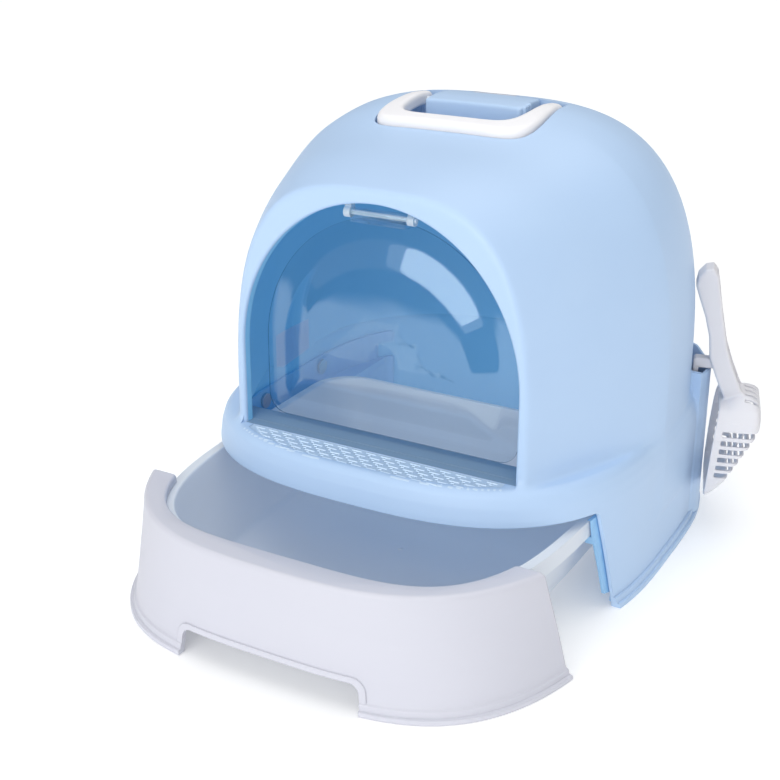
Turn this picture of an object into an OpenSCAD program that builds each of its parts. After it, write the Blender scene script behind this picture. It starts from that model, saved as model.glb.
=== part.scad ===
// Litter box with a domed hood on a plinth, a pull-out drawer under the entrance,
// a clear swinging flap, a folding carry handle round a filter lid, and a hung scoop.
// Millimetres. X is to the right, the entrance faces -Y, Z is up and the floor is Z = 0.
// The origin is the centre of the hood's foot ring. The drawer is drawn partly out.

/* [Hood] */
// Overall width over the foot flange
hood_w = 430; // [422:1:436]
// Height of the top of the dome
hood_h = 413; // [408:0.5:416]
// Height of the entrance sill and of the tread
sill_z = 135.5; // [132:0.5:138]
// Wall thickness of the mouldings
wall = 3; // [2.6:0.1:3.2]
// Width of the entrance arch
arch_w = 268.8; // [260:0.2:269]
// Height of the arch above its springing line
arch_rise = 146.5; // [142:0.5:147]
// Rows of raised bars on the tread
tread_rows = 4; // [1:1:4]

/* [Flap] */
// Side gap between the flap and the arch
flap_gap = 9.4; // [8:0.1:12]
// Thickness of the clear flap
flap_t = 2.4; // [2:0.1:2.8]
// Diameter of the hinge pin
pin_d = 4; // [3.6:0.1:4.2]

/* [Drawer] */
// How far the drawer is drawn out
drawer_out = 113; // [40:1:113]
// Height of the fascia
fascia_h = 103; // [100:0.5:103]
// Width of the hand-hold under the fascia
grip_w = 175; // [140:1:180]
// Height of the underside of the litter tray
tray_z = 13; // [9:0.5:20]

/* [Handle and filter] */
// Width of the carry handle
handle_w = 154; // [148:1:156]
// Thickness of the carry handle
handle_t = 13; // [10:0.5:14]
// Width of the filter lid
lid_w = 97; // [88:1:99]

/* [Scoop] */
// Width of the scoop's bowl
bowl_w = 98; // [84:1:102]
// Number of slots in the bowl
slots = 6; // [3:1:6]

/* [Hidden] */
hw = hood_w/2 - 5;          // half-width of the plinth
yc = -66.5;                 // centre of the plinth's plan
yp = -238;                  // plane of the arch
ring = 10;                  // depth of the arch ring
arch_z = 210;               // springing line of the arch
bay_z = 105;                // top of the drawer bay
ax_y = -226; ax_z = arch_z + 135;   // flap hinge axis
run = 0.05;                 // radial running clearance
// dome: plan half-width and crest height along Y
dw = hw - 1.2; dyw = -75.4; dlf = 353.6; dpf = 1.242; dpr = 2.616;
dyt = -38.6; dtf = 608.7; dqf = 1.335; dqr = 2.33; dyr = 149; dzb = 157;
m1 = 3.309; m2 = 2.796;

function sg(v) = v < 0 ? -1 : 1;
function pw(v, p) = sg(v)*pow(abs(v), p);
function wid(y, d) = y < dyw ? dw*pow(1 - pow((dyw - y)/dlf, dpf), 1/dpf) - d
                             : (dw - d)*pow(1 - pow((y - dyw)/(dyr - d - dyw), dpr), 1/dpr);
// shallow dip of the crest in front of the handle
function dip(y) = 4.5*exp(-pow((y + 130)/48, 2));
function top(y, d) = -dip(y) + (y < dyt ? dzb + (hood_h - dzb)*pow(1 - pow((dyt - y)/dtf, dqf), 1/dqf) - d
                             : dzb + (hood_h - dzb - d)*pow(1 - pow((y - dyt)/(dyr - d - dyt), dqr), 1/dqr));
function surf(x, y, d = 0) = dzb + (top(y, d) - dzb)*pow(max(1 - pow(abs(x)/wid(y, d), m1), 0), 1/m2);
// one section of the dome in an XZ plane, from left foot over the crest to right foot
function section(y, d, z0, n) = concat([[-wid(y, d), y, z0]],
    [for (i = [0:n]) let (a = -90 + 180*i/n)
        [wid(y, d)*pw(sin(a), 2/m1), y, dzb + (top(y, d) - dzb)*pow(max(cos(a), 0), 2/m2)]],
    [[wid(y, d), y, z0]]);

// solid through a list of loops that all have the same number of points
module through(loops) {
    n = len(loops[0]); m = len(loops);
    polyhedron(points = [for (l = loops) for (p = l) p],
        faces = concat([[for (i = [0:n-1]) i]], [[for (i = [n-1:-1:0]) (m-1)*n + i]],
            [for (k = [0:m-2]) for (i = [0:n-1]) let (j = (i+1)%n) for (f = [0, 1])
                f == 0 ? [k*n + j, k*n + i, (k+1)*n + i] : [k*n + j, (k+1)*n + i, (k+1)*n + j]]),
        convexity = 8);
}
// dome solid, d inside the outer surface, from y0 back to the rear
module dome(d, z0, y0 = yp, n = 30, m = 22) {
    ye = dyr - d - 0.7;
    through([for (k = [0:m]) section(y0 + (ye - y0)*sin(90*k/m), d, z0, n)]);
}
// egg-shaped plan of the plinth, d inside
function plan(d, z, n = 88) = [for (i = [0:n-1]) let (a = 360*i/n, c = cos(a), s = sin(a), k = s < 0 ? 2.8 : 3.8)
    [(hw - d)*pw(c, 2/k), yc + ((s < 0 ? 216.5 : 223.9) - d)*pw(s, 2/k), z]];
// front half of a rounded plan, closed straight across the back
function nose(a, b, k, z, n = 48) =
    [for (i = [0:n]) let (t = -90 + 180*i/n) [a*pw(sin(t), 2/k), yc - b*pow(max(cos(t), 0), 2/k), z]];
// plan of the tray: rounded front, square back with round corners
function pan(a, b, k, z, yb, r, n = 40) = concat(
    [for (i = [0:n]) let (t = -90 + 180*i/n) [a*pw(sin(t), 2/k), yc - b*pow(max(cos(t), 0), 2/k), z]],
    [for (i = [0:6]) let (t = 15*i) [a - r + r*cos(t), yb - r + r*sin(t), z]],
    [for (i = [0:6]) let (t = 90 + 15*i) [-a + r + r*cos(t), yb - r + r*sin(t), z]]);
module arch2(w, rise, z0) {
    translate([-w/2, z0]) square([w, arch_z - z0]);
    intersection() {
        translate([0, arch_z]) scale([1, 2*rise/w]) circle(d = w, $fn = 96);
        translate([-w/2, z0]) square([w, 400]);
    }
}
// extrude an XZ shape along Y, from y0 to y1
module along_y(y0, y1) { translate([0, y1, 0]) rotate([90, 0, 0]) linear_extrude(y1 - y0) children(); }
// extrude a YZ shape along X, from x0 to x1
module along_x(x0, x1) { translate([x0, 0, 0]) rotate([90, 0, 90]) linear_extrude(x1 - x0) children(); }
module rod(r, x0, x1, y, z, f = 32) { translate([x0, y, z]) rotate([0, 90, 0]) cylinder(r = r, h = x1 - x0, $fn = f); }

// ---- handle, well and filter lid ----
hy0 = -117; hy1 = -17; hpy = -30; hpz = surf(62, hpy) - 7; pinr = 3;
lid_y0 = -58; lid_y1 = -13; well_z = 374;
function bail(a0, a1, y0, y1, k, n = 44) = [for (i = [0:n]) let (t = 90 - 180*i/n, c = pow(max(cos(t), 0), 2/k), a = a1 + (a0 - a1)*c)
    [a*pw(sin(t), 2/k), y1 - (y1 - y0)*c]];
hx = 1.0455;                // widens the plans, so that the widest point of the bail is the handle's width
module bail_plan(g = 0) scale([hx, 1]) {
    difference() {
        polygon(bail(handle_w/2 + g, handle_w/2 - 7 + g, hy0 - g, hy1 + g, 6));
        polygon(bail(handle_w/2 - 21.7 - g, handle_w/2 - 19.6 - g, hy0 + 19.6 + g, hy1 + 3, 4.2));
    }
}
module well_plan(g = 0) scale([hx, 1]) polygon(bail(handle_w/2 + 2 + g, handle_w/2 - 5 + g, hy0 - 2 - g, hy1 + 5 + g, 6));

// scoop frame: n outward from the hood, u across the blade
sc_a = 17; sc_x = hw; sc_y = 45.9;
module at_scoop() { translate([sc_x, sc_y, 0]) rotate([0, 0, sc_a]) children(); }
// shape in the scoop's n-z plane, w wide
module blade(w, dy = 0) { translate([0, w/2 + dy, 0]) rotate([90, 0, 0]) linear_extrude(w) children(); }

foot_in = -5; foot_mid = -2.5;
// half-width of the plinth at depth y
function plan_x(y) = let (k = y < yc ? 2.8 : 3.8) hw*pow(1 - pow(abs(y - yc)/(y < yc ? 216.5 : 223.9), k), 1/k);
// ends of the bosses that pass through the guides
screws = [for (s = [-1, 1]) for (y = [-110, 0]) for (z = [30, 96]) [s*(plan_x(y) - wall - 2.8), y, z]];
module pocket_block(d, z0, z1) {
    translate([0, 0, z0]) linear_extrude(z1 - z0) polygon([[hw - 40, 28 + d], [hw - 1.5 - d, 28 + d], [hw + 0.9 - d, 38], [hw + 1.3 - d, 48], [hw - 0.4 - d, 55],
        [hw - 5 - d/2, 61 - d], [hw - 12, 64 - d], [hw - 40, 64 - d]]);
}
module hood_outer() {
    through([plan(foot_in, 0), plan(foot_in, 5), plan(foot_mid, 5.02), plan(foot_mid, 11), plan(0, 11.02), plan(0, 110),
        plan(1.4, 121), plan(4, sill_z - 5.5), plan(6.3, sill_z - 2.4), plan(9.5, sill_z)]);
    dome(0, 108);
    pocket_block(0, 0, 158);
    // rear wing of the pocket
    along_y(57, 60.5) polygon([[hw - 34, 120], [hw - 3, 120], [hw - 3, 158], [hw - 17, 174], [hw - 34, 180]]);
}
module hood_inner() {
    through([plan(wall, -1), plan(wall, 109), plan(wall + 1.4, 119.5), plan(wall + 4, sill_z - 8.3), plan(wall + 6.5, sill_z - 5.4), plan(wall + 9.5, sill_z - wall)]);
    intersection() {
        dome(wall, 100, yp + ring);
        union() {
            translate([-300, yp + ring, sill_z]) cube([600, 500, 400]);
            translate([-300, -204, 50]) cube([600, 500, 400]);
        }
    }
    pocket_block(wall, -1, 99);
}
module hood_body() {
    difference() {
        union() {
            difference() { hood_outer(); hood_inner(); }
            // block under the handle well
            intersection() { dome(0.01, 200); translate([0, 0, well_z - wall]) linear_extrude(60) well_plan(8); }
            // turned-down edge at the back of the sill
            intersection() {
                translate([-300, -204 - wall, sill_z - 14]) cube([600, wall, 13]);
                through([plan(wall - 0.5, 100), plan(wall + 8, sill_z - 1)]);
            }
            // bosses for the guide screws
            difference() {
                intersection() { through([plan(1, 0), plan(1, 110)]); for (p = screws) translate([p[0] > 0 ? p[0] : p[0] - 20, p[1] - 5, p[2] - 5]) cube([20, 10, 10]); }
                for (p = screws) rod(1.4, p[0] - 3.4, p[0] + 3.4, p[1], p[2], 16);
            }
            // walls of the scoop pocket
            difference() { pocket_block(0, 99, 158); dome(wall, 60); }
            tread();
        }
        along_y(yp - 40, yp + ring + 0.5) arch2(arch_w, arch_rise, sill_z);
        // drawer bay
        along_x(-300, 300) polygon([[-400, -10], [-159.2, -10], [-190, 101], [-191.2, 104], [-194, bay_z], [-400, bay_z]]);
        // handle well
        translate([0, 0, well_z]) linear_extrude(60) well_plan();
        translate([-lid_w/2 + 5, lid_y0 + 5, well_z - 20]) cube([lid_w - 10, lid_y1 - lid_y0 - 10, 30]);
        translate([-23, lid_y1 - 2, well_z + 10]) cube([46, 24, 60]);
        // scoop slot
        translate([hw - 17.5, 31, 102]) cube([15.6, 26, 87]);
    }
}
module tread() {
    for (r = [0:tread_rows - 1]) {
        y = -269.5 + 8.6*r; half = (hw - 20)*pow(max(1 - pow((yc - y)/206, 2.8), 0), 1/2.8) - 9;
        for (i = [-14:14]) let (x = 12.4*(i + (r%2)/2)) if (abs(x) < min(half, 116)) translate([x - 4, y - 1.3, sill_z - 0.5]) cube([8, 2.6, 1.4]);
    }
}
module hood_shell() color([0.66, 0.80, 0.95]) difference() {
    resize([hood_w, 0, 0]) hood_body();
    for (s = [-1, 1]) {
        rod(pinr, s > 0 ? handle_w/2 - 9 : -handle_w/2 - 6, s > 0 ? handle_w/2 + 6 : -handle_w/2 + 9, hpy, hpz);
    }
}

// ---- nested guide panels ----
module guide(s) {
    intersection() {
        union() {
            difference() {
                through([plan(wall + 1.4, 2), plan(wall + 1.4, 112)]);
                through([plan(wall + 4, 0), plan(wall + 4, 114)]);
            }
            difference() {
                through([plan(wall + 1.4, 70), plan(wall + 1.4, 77.5)]);
                translate([-hw + 30.4, -300, 60]) cube([2*hw - 60.8, 600, 30]);
            }
        }
        translate([s > 0 ? 100 : -300, 0, 0]) along_x(0, 200)
            polygon([[-171, 16], [-193.6, 96], [-186, 99], [-186, 108], [110, 108], [110, 2], [-158, 2], [-158, 14]]);
    }
}
module drawer_guide_left() color([0.63, 0.77, 0.93]) guide_part(-1);
module drawer_guide_right() color([0.63, 0.77, 0.93]) guide_part(1);
module guide_part(s) difference() {
    guide(s);
    for (p = screws) translate([p[0] - 15, p[1] - 5.5, p[2] - 5.5]) cube([30, 11, 11]);
    // room for the tray's rails, and on the right for the scoop pocket
    translate([-185.6, -300, 77.6]) cube([371.2, 600, 18]);
    if (s > 0) translate([165, 26.5, 97.5]) cube([60, 39.5, 20]);
}

// ---- flap ----
fw = arch_w/2 - flap_gap; fy = -211;
// rise of the middle of the flap over its border, t from 0 to 1 across the shoulder
function bulge(t) = 9*t*t*(3 - 2*t);
// flap outline, d inside, at depth y
function flap(d, y, n = 36) = let (a = fw - d, b = 129 - d, zb = sill_z + 4.5 + d, r = max(18 - d/2, 4)) concat(
    [for (i = [0:n]) let (t = 180*i/n) [a*cos(t), y, arch_z + b*sin(t)]],
    [for (i = [0:6]) let (t = 180 + 15*i) [-a + r + r*cos(t), y, zb + r + r*sin(t)]],
    [for (i = [0:6]) let (t = 270 + 15*i) [a - r + r*cos(t), y, zb + r + r*sin(t)]]);
module flap_panel() color([0.80, 0.88, 0.94, 0.35]) difference() {
    union() {
        difference() {
            through(concat([flap(0, fy)], [flap(0, fy - flap_t)], [for (q = [0:8]) flap(16 + 28*q/8, fy - flap_t - 0.01 - bulge(q/8))]));
            through(concat([flap(12.5, fy + 1)], [for (q = [1:8]) flap(16 + 28*q/8, fy - bulge(q/8))]));
        }
        // ribbed plate from the barrel down to the panel
        along_x(-26, 26) polygon([[ax_y - 4.3, ax_z], [ax_y - 4.3, ax_z - 7.4], [fy - 3, ax_z - 9], [fy - 0.02, ax_z - 9], [fy - 0.02, ax_z - 5.4], [ax_y + 3, ax_z + 2.8]]);
        for (i = [0:4]) rod(0.7, -26, 26, ax_y - (i == 0 ? 3.2 : 4.3), ax_z + 3 - 2.4*i, 16);
        rod(4.4, -26.4, 26.4, ax_y, ax_z, 48);
    }
    rod(pin_d/2 + run, -30, 30, ax_y, ax_z, 48);
}
module flap_pin() color([0.85, 0.90, 0.95]) rod(pin_d/2, -34, 34, ax_y, ax_z, 48);
module hinge_clip(s) difference() {
    along_x(s > 0 ? 27 : -33, s > 0 ? 33 : -27) union() {
        translate([ax_y, ax_z]) circle(r = 4.9, $fn = 48);
        polygon([[yp + ring, ax_z - 2], [ax_y + 4.9, ax_z], [ax_y + 4.5, ax_z + 12], [ax_y + 2, ax_z + 16], [yp + ring, ax_z + 16]]);
    }
    rod(pin_d/2 + run, -40, 40, ax_y, ax_z, 48);
}
module hinge_clip_left() color([0.60, 0.76, 0.93]) hinge_clip(-1);
module hinge_clip_right() color([0.60, 0.76, 0.93]) hinge_clip(1);

// ---- carry handle ----
// leans a shape up towards the front, so that the bail stands proud there
module lifted(h) { multmatrix([[1, 0, 0, 0], [0, 1, 0, 0], [0, -0.075, 1, h - 0.075*19], [0, 0, 0, 1]]) children(); }
module carry_handle() color([0.93, 0.93, 0.95]) difference() {
    intersection() {
        resize([handle_w, 0, 0]) intersection() {
            difference() { lifted(0) dome(0, 300); lifted(-handle_t) dome(0, 250); }
            translate([0, 0, 350]) linear_extrude(100) bail_plan();
        }
        // rounded arm ends
        along_x(-100, 100) union() {
            translate([-200, 340]) square([200 + hpy, 100]);
            translate([hpy, hpz]) circle(r = 12.6, $fn = 64);
        }
    }
    rod(pinr + run, -100, 100, hpy, hpz, 48);
}
module handle_pins() color([0.86, 0.87, 0.90]) for (s = [-1, 1])
    rod(pinr, s > 0 ? handle_w/2 - 21 : -handle_w/2 - 5.5, s > 0 ? handle_w/2 + 5.5 : -handle_w/2 + 21, hpy, hpz, 48);

// ---- filter ----
module filter_lid() color([0.68, 0.82, 0.96]) difference() {
    resize([lid_w, 0, 0]) difference() {
        intersection() {
            translate([0, 0, 0.2]) dome(0, 300);
            translate([-lid_w/2, lid_y0, well_z + 0.4]) cube([lid_w, lid_y1 - lid_y0, 60]);
        }
        intersection() {
            dome(2.6, 300);
            translate([-lid_w/2 + 2.4, lid_y0 + 2.4, well_z - 10]) cube([lid_w - 4.8, lid_y1 - lid_y0 - 4.8, 60]);
        }
    }
    translate([-10, lid_y1 - 4, well_z + 12]) cube([20, 8, 9]);
}
module filter_latch() color([0.94, 0.94, 0.96]) difference() {
    union() {
        intersection() { translate([0, 0, 0.2]) dome(0, 300); translate([-21.5, lid_y1 + 0.3, well_z + 20]) cube([43, 19, 60]); }
        translate([-9.6, lid_y1 - 2.2, well_z + 12.4]) cube([19.2, 8, 8.2]);
    }
    translate([-18, lid_y1 + 8, well_z + 10]) cube([36, 8.5, top(lid_y1 + 18, 0) - well_z - 13]);
}
module filter_cup() color([0.90, 0.91, 0.93]) difference() {
    union() {
        translate([-lid_w/2 + 5.4, lid_y0 + 5.4, 336]) cube([lid_w - 10.8, lid_y1 - lid_y0 - 10.8, well_z - 336 + 0.5]);
        translate([-lid_w/2 + 2.8, lid_y0 + 2.8, well_z + 0.1]) cube([lid_w - 5.6, lid_y1 - lid_y0 - 5.6, 1.8]);
    }
    translate([-lid_w/2 + 7.4, lid_y0 + 7.4, 338]) cube([lid_w - 14.8, lid_y1 - lid_y0 - 14.8, 60]);
    for (i = [-4:4]) translate([7*i - 1.75, lid_y0 + 13, 330]) cube([3.5, lid_y1 - lid_y0 - 26, 20]);
}
module filter_pad() color([0.16, 0.17, 0.18]) translate([-lid_w/2 + 8, lid_y0 + 8, 338.1]) cube([lid_w - 16, lid_y1 - lid_y0 - 16, 14]);

// ---- drawer ----
dz = 0.4;
end0 = -171 - drawer_out; end1 = -192 - drawer_out;   // back edge of the fascia at the foot and at the rim
module fascia_end() along_x(-300, 300) polygon([[end0 + 1.5, -10], [200, -10], [200, 200], [end1 - 20, 200], [end1 - 1, fascia_h], [end1, fascia_h - 4]]);
dy = -(drawer_out - 113);
module drawer_front() color([0.93, 0.93, 0.95]) {
    h = fascia_h;
    translate([0, dy, 0]) difference() {
        union() {
            difference() {
                through([nose(225.6, 351.5, 3.49, dz), nose(225.6, 351.5, 3.49, 5), nose(223.4, 349.4, 3.46, 5.02), nose(223.2, 349, 3.44, 11),
                    nose(221.4, 347, 3.42, 11.02), nose(221.2, 345.3, 3.3, 35), nose(221.1, 343.6, 3.14, 65), nose(221.1, 341.6, 3.0, h - 5),
                    nose(220.3, 340.8, 2.98, h - 2), nose(218.3, 338.8, 2.98, h - 0.5), nose(217, 337.5, 2.98, h)]);
                through([nose(218.4, 344, 3.42, -1), nose(218.2, 342.3, 3.3, 35), nose(218.1, 340.6, 3.14, 65), nose(218.1, 338.6, 3.0, h - wall)]);
            }
            // inner lip that stands on the tray's flange
            difference() {
                through([nose(184.6, 317.8, 4.17, 95), nose(184.6, 317.8, 4.17, h - 1)]);
                through([nose(181.7, 314.8, 4.17, 90), nose(181.7, 314.8, 4.17, h)]);
            }
            for (p = fixings) translate([p[0], p[1], 95]) cylinder(r = 4, h = h - 95 - 1, $fn = 32);
        }
        through([nose(180.9, 314, 4.17, h - 8), nose(181.7, 314.8, 4.17, h - 4), nose(182.3, 315.4, 4.17, h + 1)]);
        for (p = fixings) translate([p[0], p[1], 90]) cylinder(r = 1.65, h = h - 90 - 3, $fn = 24);
        along_y(-460, -330) polygon([[-grip_w/2, -5], [-grip_w/2 + 3.6, 19], [-grip_w/2 + 6, 23.5], [-grip_w/2 + 11, 26], [grip_w/2 - 11, 26], [grip_w/2 - 6, 23.5], [grip_w/2 - 3.6, 19], [grip_w/2, -5]]);
        translate([0, -dy, 0]) fascia_end();
    }
}
fixings = [for (x = [-118, -42, 42, 118]) [x, yc - 0.9945*317.2*pow(1 - pow(abs(x)/184.6, 4.17), 1/4.17)]];
module fascia_screws() color([0.75, 0.76, 0.78]) translate([0, dy, 0]) for (p = fixings) translate([p[0], p[1], 0]) {
    translate([0, 0, 88.6]) cylinder(r = 3, h = 2.2, $fn = 32);
    translate([0, 0, 88.6]) cylinder(r = 1.6, h = 10.5, $fn = 32);
}
module litter_tray() color([0.90, 0.92, 0.94]) translate([0, dy, 0]) difference() {
    union() {
        through([pan(150, 284, 4, tray_z, -28, 34), pan(154, 288, 4, tray_z + 3, -24, 36), pan(178, 311, 4.17, 78, -3, 40), pan(178.6, 311.6, 4.17, 91.02, -2.4, 40),
            pan(185, 320, 4.17, 91.04, 0, 44), pan(185, 320, 4.17, 94.6, 0, 44)]);
        // turned-down edges at the sides that ride on the guides
        intersection() {
            difference() {
                through([pan(185, 320, 4.17, 78, 0, 44), pan(185, 320, 4.17, 92, 0, 44)]);
                through([pan(182.2, 317.2, 4.17, 77, 0, 44), pan(182.2, 317.2, 4.17, 93, 0, 44)]);
            }
            translate([-200, -292, 70]) cube([400, 240, 30]);
        }
    }
    through([pan(146, 280, 4, tray_z + wall, -32, 30), pan(151, 285, 4, tray_z + wall + 3, -27, 33), pan(175, 308, 4.17, 78.6, -6, 38), pan(175.7, 308.7, 4.17, 92, -5.3, 38), pan(177, 310, 4.17, 95, -4.6, 38)]);
    for (p = fixings) translate([p[0], p[1], 80]) cylinder(r = 1.9, h = 20, $fn = 24);
}
module guide_screws() color([0.75, 0.76, 0.78]) for (p = screws) let (s = sg(p[0])) {
    rod(1.35, min(p[0] - s*4.1, p[0] + s*2.4), max(p[0] - s*4.1, p[0] + s*2.4), p[1], p[2], 32);
    rod(7.8, min(p[0] - s*4.1, p[0] - s*2.1), max(p[0] - s*4.1, p[0] - s*2.1), p[1], p[2], 48);
}

// ---- scoop ----
prof = [[12, 131], [19, 132.5], [26, 136.5], [33, 139.5], [37, 139.6], [42.5, 138], [47.5, 134.2], [50.6, 129], [51, 122], [50.2, 115], [48.5, 110], [44.5, 101], [39.5, 92], [33, 79], [23, 59], [13, 45], [7, 38], [4.2, 39], [4.6, 47], [5.6, 66], [7, 87], [9, 110], [11, 125]];
stem = [[-4, 261], [1, 255], [4, 240], [8, 217], [15, 184], [22, 164], [31, 143], [40, 131], [24, 126], [17.5, 129], [10, 145], [5, 157], [-1, 173], [-3, 194], [-8, 213], [-14, 229], [-19, 243], [-17.5, 252], [-11, 259.5]];
module scoop() color([0.93, 0.93, 0.95]) at_scoop() difference() {
    union() {
        intersection() {
            blade(bowl_w) polygon(prof);
            // outline of the bowl seen from outside
            rotate([90, 0, 90]) linear_extrude(80) polygon([[-bowl_w/2 + 15, 34], [-bowl_w/2 + 5, 50], [-bowl_w/2, 78], [-bowl_w/2, 104], [-bowl_w/2 + 4, 120], [-bowl_w/2 + 14, 131], [-18, 141], [18, 141], [bowl_w/2 - 14, 131], [bowl_w/2 - 4, 120], [bowl_w/2, 104], [bowl_w/2, 78], [bowl_w/2 - 5, 50], [bowl_w/2 - 15, 34]]);
        }
        blade(27) polygon(stem);
        // peg that hooks into the pocket
        blade(11) polygon([[6, 169], [4.5, 159.5], [-10, 159.5], [-10.5, 151], [-13, 149.5], [-15.5, 151], [-15.5, 168], [-13.5, 170]]);
    }
    // inside of the bowl, open towards the hood
    intersection() {
        blade(bowl_w - 5) polygon([[-20, 128], [12, 128.2], [19.5, 129.8], [26.6, 133.7], [33.4, 136.8], [37, 136.9], [41.6, 135.6], [45.6, 132.4], [48, 128], [48.4, 122], [47.4, 115], [46, 110.6], [42, 101.8], [37, 92.8], [30.6, 80.2], [21, 60.7], [11.2, 47], [6, 40.5], [-20, 36]]);
        rotate([90, 0, 90]) translate([0, 0, -40]) linear_extrude(120) polygon([[-bowl_w/2 + 17, 34], [-bowl_w/2 + 7.5, 51], [-bowl_w/2 + 2.5, 78.5], [-bowl_w/2 + 2.5, 103.5], [-bowl_w/2 + 6.3, 118.6], [-bowl_w/2 + 15.5, 128.6], [-18.6, 138.2], [18.6, 138.2], [bowl_w/2 - 15.5, 128.6], [bowl_w/2 - 6.3, 118.6], [bowl_w/2 - 2.5, 103.5], [bowl_w/2 - 2.5, 78.5], [bowl_w/2 - 7.5, 51], [bowl_w/2 - 17, 34]]);
    }
    // channel in the outer side of the grip
    blade(21.6) polygon([[-13, 254], [-16, 249.5], [-16.3, 244.5], [-11.4, 230], [-5.4, 214], [-0.5, 194.5], [1.5, 174], [7.4, 158.5], [12.3, 146.8], [18, 138.5], [44, 138.5], [60, 200], [30, 262], [-2, 256]]);
    // slots, cut through the back and round into the side walls
    for (i = [0:slots - 1]) for (s = [-1, 1])
        translate([12 + 0.85*i, s > 0 ? 3 : -bowl_w/2 - 1, 64 + 8.6*i]) cube([45, bowl_w/2 - 2, 5.2]);
    for (i = [-2:2]) translate([35.5, 11.5*i - 2.2, 121]) cube([30, 4.4, 40]);
}

hood_shell();
drawer_guide_left();
drawer_guide_right();
guide_screws();
hinge_clip_left();
hinge_clip_right();
flap_panel();
flap_pin();
carry_handle();
handle_pins();
filter_lid();
filter_latch();
filter_cup();
filter_pad();
drawer_front();
fascia_screws();
litter_tray();
scoop();
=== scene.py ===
import bpy
import math
import numpy as np
from mathutils import Vector, Matrix


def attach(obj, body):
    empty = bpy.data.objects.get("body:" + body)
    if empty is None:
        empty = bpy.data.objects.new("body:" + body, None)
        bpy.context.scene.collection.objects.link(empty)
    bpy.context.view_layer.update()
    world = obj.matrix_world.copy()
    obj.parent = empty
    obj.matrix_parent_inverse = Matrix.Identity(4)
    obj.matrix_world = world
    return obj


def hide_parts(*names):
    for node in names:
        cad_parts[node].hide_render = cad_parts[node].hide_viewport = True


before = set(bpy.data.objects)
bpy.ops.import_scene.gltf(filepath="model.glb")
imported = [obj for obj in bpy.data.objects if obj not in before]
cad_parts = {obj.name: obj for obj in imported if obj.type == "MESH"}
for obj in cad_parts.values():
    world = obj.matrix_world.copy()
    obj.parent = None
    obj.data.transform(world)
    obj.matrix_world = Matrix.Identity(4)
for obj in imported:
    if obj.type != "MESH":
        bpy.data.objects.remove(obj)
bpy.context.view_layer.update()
scene = bpy.context.scene
scene.view_settings.view_transform = "Standard"
scene.view_settings.look = "None"

# ------------------------------------------------------------------ camera
cam_data = bpy.data.cameras.new("camera")
cam = bpy.data.objects.new("camera", cam_data)
scene.collection.objects.link(cam)
cam.location = (0.5405, -1.1802, 0.6404)
look_at = Vector((0.0, -0.224, 0.210)) - cam.location
cam.rotation_euler = look_at.to_track_quat("-Z", "Y").to_euler()
cam_data.sensor_width = 36.0
cam_data.lens = 63.262
cam_data.shift_x = 0.01077
cam_data.shift_y = -0.02885
cam_data.clip_start, cam_data.clip_end = 0.02, 60.0
scene.camera = cam

# ------------------------------------------------------------------ sizes, in millimetres
HW, YC, YP, RING, ARCH_Z, ARCH_W, RISE, SILL, WALL, TOP = 210.0, -66.5, -238.0, 10.0, 210.0, 268.8, 146.5, 135.5, 3.0, 413.0
DW, DYW, DLF, DPF, DPR = 208.8, -75.4, 353.6, 1.242, 2.616
DYT, DTF, DQF, DQR, DYR, DZB = -38.6, 608.7, 1.335, 2.33, 149.0, 157.0
M1, M2 = 3.309, 2.796
AX_Y, AX_Z = -226.0, 345.0
WELL_Z, LID_W, LID_Y0, LID_Y1 = 374.0, 97.0, -58.0, -13.0
HY0, HY1, HPY, HPZ, HANDLE_W, HANDLE_T, HX = -117.0, -17.0, -30.0, 404.17, 154.0, 13.0, 1.0455


def wid(y, d=0.0):
    """Half-width of the dome at depth y, d inside the surface."""
    y = np.asarray(y, float)
    a = np.clip((DYW - y) / DLF, 0, None)
    b = np.clip((y - DYW) / (DYR - d - DYW), 0, None)
    front = DW * np.clip(1 - a ** DPF, 1e-7, None) ** (1 / DPF) - d
    rear = (DW - d) * np.clip(1 - b ** DPR, 1e-7, None) ** (1 / DPR)
    return np.where(y < DYW, front, rear)


def top(y, d=0.0):
    """Height of the dome's crest at depth y."""
    y = np.asarray(y, float)
    a = np.clip((DYT - y) / DTF, 0, None)
    b = np.clip((y - DYT) / (DYR - d - DYT), 0, None)
    front = DZB + (TOP - DZB) * np.clip(1 - a ** DQF, 1e-7, None) ** (1 / DQF) - d
    rear = DZB + (TOP - DZB - d) * np.clip(1 - b ** DQR, 1e-7, None) ** (1 / DQR)
    return np.where(y < DYT, front, rear) - 4.5 * np.exp(-(((y + 130) / 48) ** 2))


def surf(x, y, d=0.0):
    """Height of the dome's surface at (x, y)."""
    q = np.clip(1 - (np.abs(x) / np.maximum(wid(y, d), 1)) ** M1, 0, None)
    return DZB + (top(y, d) - DZB) * q ** (1 / M2)


# ------------------------------------------------------------------ mesh helpers
def resample(p, n, closed=False):
    """n points at equal steps along the line through p."""
    p = np.asarray(p, float)
    if closed:
        p = np.vstack([p, p[:1]])
    s = np.concatenate([[0], np.cumsum(np.linalg.norm(np.diff(p, axis=0), axis=1))])
    t = np.linspace(0, s[-1], n + 1)[:-1] if closed else np.linspace(0, s[-1], n)
    return np.stack([np.interp(t, s, p[:, i]) for i in range(p.shape[1])], 1)


def mesh_object(name, verts, faces):
    me = bpy.data.meshes.new(name)
    me.from_pydata((np.asarray(verts, float) * 0.001).tolist(), [], faces)
    me.update()
    o = bpy.data.objects.new(name, me)
    scene.collection.objects.link(o)
    return o


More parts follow.
